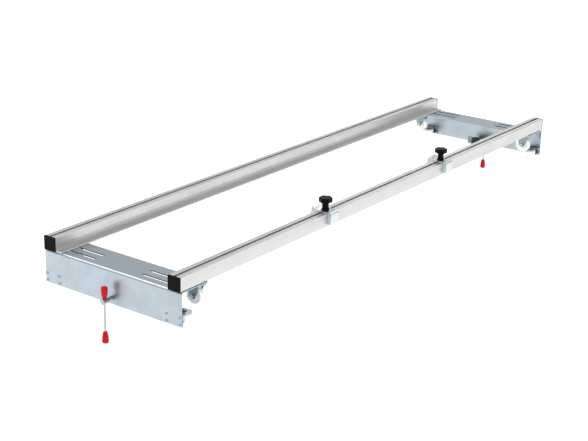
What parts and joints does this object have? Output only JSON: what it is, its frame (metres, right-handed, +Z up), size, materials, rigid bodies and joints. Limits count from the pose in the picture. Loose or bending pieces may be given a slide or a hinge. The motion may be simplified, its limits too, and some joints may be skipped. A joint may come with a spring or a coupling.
{
  "type": "tile cutter guide frame",
  "caption": "Adjustable slotted-rail guide frame for a bench tile cutter, with castored steel crossbars, end clamp screws and sliding rail stops.",
  "frame": {"origin": "centre of the frame in plan, on the plane of the bench top where the four upper castors stand", "axes": "+X along the rails towards the far crossbar, +Y from the front rail with the stops to the back rail with the foot, +Z up"},
  "size_m": [2.069, 0.5, 0.2801],
  "materials": {
    "rail_aluminium": "natural anodised extrusion",
    "zinc_sheet": "bright blue-passivated zinc plate on folded steel",
    "castor_zinc": "zinc plate on pressed steel",
    "bright_steel": "zinc-plated fasteners",
    "spindle_steel": "turned steel",
    "white_nylon": "moulded nylon",
    "black_plastic": "moulded polyamide",
    "knob_plastic": "moulded phenolic",
    "red_plastic": "moulded red plastic",
    "black_rubber": "moulded rubber"
  },
  "bodies": {
    "frame": {"near_crossbar": "zinc_sheet", "far_crossbar": "zinc_sheet", "near_front_top_fork": "castor_zinc", "near_front_top_axle": "bright_steel", "near_front_side_fork": "castor_zinc", "near_front_side_axle": "bright_steel", "near_back_top_fork": "castor_zinc", "near_back_top_axle": "bright_steel", "near_back_side_fork": "castor_zinc", "near_back_side_axle": "bright_steel", "far_front_top_fork": "castor_zinc", "far_front_top_axle": "bright_steel", "far_front_side_fork": "castor_zinc", "far_front_side_axle": "bright_steel", "far_back_top_fork": "castor_zinc", "far_back_top_axle": "bright_steel", "far_back_side_fork": "castor_zinc", "far_back_side_axle": "bright_steel", "near_clamp_nut": "castor_zinc", "far_clamp_nut": "castor_zinc"},
    "front_rail": {"front_rail": "rail_aluminium", "front_rail_near_cap": "black_plastic", "front_rail_far_cap": "black_plastic", "near_front_outer_rail_bolt": "bright_steel", "near_front_inner_rail_bolt": "bright_steel", "far_front_outer_rail_bolt": "bright_steel", "far_front_inner_rail_bolt": "bright_steel"},
    "back_rail": {"back_rail": "rail_aluminium", "back_rail_near_cap": "black_plastic", "back_rail_far_cap": "black_plastic", "near_back_outer_rail_bolt": "bright_steel", "near_back_inner_rail_bolt": "bright_steel", "far_back_outer_rail_bolt": "bright_steel", "far_back_inner_rail_bolt": "bright_steel"},
    "near_front_top_wheel": {"near_front_top_wheel": "white_nylon"},
    "near_front_side_wheel": {"near_front_side_wheel": "white_nylon"},
    "near_back_top_wheel": {"near_back_top_wheel": "white_nylon"},
    "near_back_side_wheel": {"near_back_side_wheel": "white_nylon"},
    "far_front_top_wheel": {"far_front_top_wheel": "white_nylon"},
    "far_front_side_wheel": {"far_front_side_wheel": "white_nylon"},
    "far_back_top_wheel": {"far_back_top_wheel": "white_nylon"},
    "far_back_side_wheel": {"far_back_side_wheel": "white_nylon"},
    "near_stop": {"near_stop_bracket": "zinc_sheet"},
    "near_stop_knob": {"near_stop_knob": "knob_plastic"},
    "near_stop_nut": {"near_stop_nut": "bright_steel"},
    "far_stop": {"far_stop_bracket": "zinc_sheet"},
    "far_stop_knob": {"far_stop_knob": "knob_plastic"},
    "far_stop_nut": {"far_stop_nut": "bright_steel"},
    "near_pad": {"near_pad_plate": "castor_zinc", "near_pad_rubber": "black_rubber"},
    "near_spindle": {"near_clamp_spindle": "spindle_steel"},
    "near_bar": {"near_clamp_bar": "spindle_steel", "near_clamp_upper_grip": "red_plastic", "near_clamp_lower_grip": "red_plastic"},
    "far_pad": {"far_pad_plate": "castor_zinc", "far_pad_rubber": "black_rubber"},
    "far_spindle": {"far_clamp_spindle": "spindle_steel"},
    "far_bar": {"far_clamp_bar": "spindle_steel", "far_clamp_upper_grip": "red_plastic", "far_clamp_lower_grip": "red_plastic"}
  },
  "joints": [
    {"name": "front_rail_adjust", "type": "slide", "parent": "frame", "child": "front_rail", "axis": [0, 1, 0], "range_m": [0, 0.132]},
    {"name": "back_rail_adjust", "type": "slide", "parent": "frame", "child": "back_rail", "axis": [0, -1, 0], "range_m": [0, 0.132]},
    {"name": "near_front_top_wheel_spin", "type": "hinge", "parent": "frame", "child": "near_front_top_wheel", "pos_m": [-0.913, -0.216, 0.025], "axis": [1, 0, 0], "continuous": true},
    {"name": "near_back_top_wheel_spin", "type": "hinge", "parent": "frame", "child": "near_back_top_wheel", "pos_m": [-0.913, 0.216, 0.025], "axis": [1, 0, 0], "continuous": true},
    {"name": "far_front_top_wheel_spin", "type": "hinge", "parent": "frame", "child": "far_front_top_wheel", "pos_m": [0.913, -0.216, 0.025], "axis": [1, 0, 0], "continuous": true},
    {"name": "far_back_top_wheel_spin", "type": "hinge", "parent": "frame", "child": "far_back_top_wheel", "pos_m": [0.913, 0.216, 0.025], "axis": [1, 0, 0], "continuous": true},
    {"name": "near_front_side_wheel_spin", "type": "hinge", "parent": "frame", "child": "near_front_side_wheel", "pos_m": [-0.96, -0.216, -0.0155], "axis": [0, 0, 1], "continuous": true},
    {"name": "near_back_side_wheel_spin", "type": "hinge", "parent": "frame", "child": "near_back_side_wheel", "pos_m": [-0.96, 0.216, -0.0155], "axis": [0, 0, 1], "continuous": true},
    {"name": "far_front_side_wheel_spin", "type": "hinge", "parent": "frame", "child": "far_front_side_wheel", "pos_m": [0.96, -0.216, -0.0155], "axis": [0, 0, 1], "continuous": true},
    {"name": "far_back_side_wheel_spin", "type": "hinge", "parent": "frame", "child": "far_back_side_wheel", "pos_m": [0.96, 0.216, -0.0155], "axis": [0, 0, 1], "continuous": true},
    {"name": "near_stop_slide", "type": "slide", "parent": "front_rail", "child": "near_stop", "axis": [1, 0, 0], "range_m": [-0.53, 0.28]},
    {"name": "near_stop_knob_turn", "type": "hinge", "parent": "near_stop", "child": "near_stop_knob", "pos_m": [-0.345, -0.222, 0.1053], "axis": [0, 0, 1], "range_deg": [0, 720]},
    {"name": "near_stop_nut_travel", "type": "slide", "parent": "near_stop", "child": "near_stop_nut", "axis": [0, 0, 1], "range_m": [-0.00251, 0]},
    {"name": "far_stop_slide", "type": "slide", "parent": "front_rail", "child": "far_stop", "axis": [1, 0, 0], "range_m": [-0.26, 0.57]},
    {"name": "far_stop_knob_turn", "type": "hinge", "parent": "far_stop", "child": "far_stop_knob", "pos_m": [0.305, -0.222, 0.1053], "axis": [0, 0, 1], "range_deg": [0, 720]},
    {"name": "far_stop_nut_travel", "type": "slide", "parent": "far_stop", "child": "far_stop_nut", "axis": [0, 0, 1], "range_m": [-0.00251, 0]},
    {"name": "near_pad_press", "type": "slide", "parent": "frame", "child": "near_pad", "axis": [1, 0, 0], "range_m": [-0.00901, 0.01501]},
    {"name": "near_clamp_turn", "type": "hinge", "parent": "near_pad", "child": "near_spindle", "pos_m": [-1, 0, -0.0155], "axis": [1, 0, 0], "range_deg": [-1080, 1800]},
    {"name": "near_bar_slide", "type": "slide", "parent": "near_spindle", "child": "near_bar", "axis": [0, 0, 1], "range_m": [0, 0.078]},
    {"name": "far_pad_press", "type": "slide", "parent": "frame", "child": "far_pad", "axis": [-1, 0, 0], "range_m": [-0.00901, 0.01501]},
    {"name": "far_clamp_turn", "type": "hinge", "parent": "far_pad", "child": "far_spindle", "pos_m": [1, 0, -0.0155], "axis": [-1, 0, 0], "range_deg": [-1080, 1800]},
    {"name": "far_bar_slide", "type": "slide", "parent": "far_spindle", "child": "far_bar", "axis": [0, 0, 1], "range_m": [0, 0.078]}
  ],
  "couplings": [
    {"joint": "near_stop_nut_travel", "follows": "near_stop_knob_turn", "m_per_rad": -0.00019894},
    {"joint": "far_stop_nut_travel", "follows": "far_stop_knob_turn", "m_per_rad": -0.00019894},
    {"joint": "near_pad_press", "follows": "near_clamp_turn", "m_per_rad": 0.00047746},
    {"joint": "far_pad_press", "follows": "far_clamp_turn", "m_per_rad": 0.00047746}
  ]
}
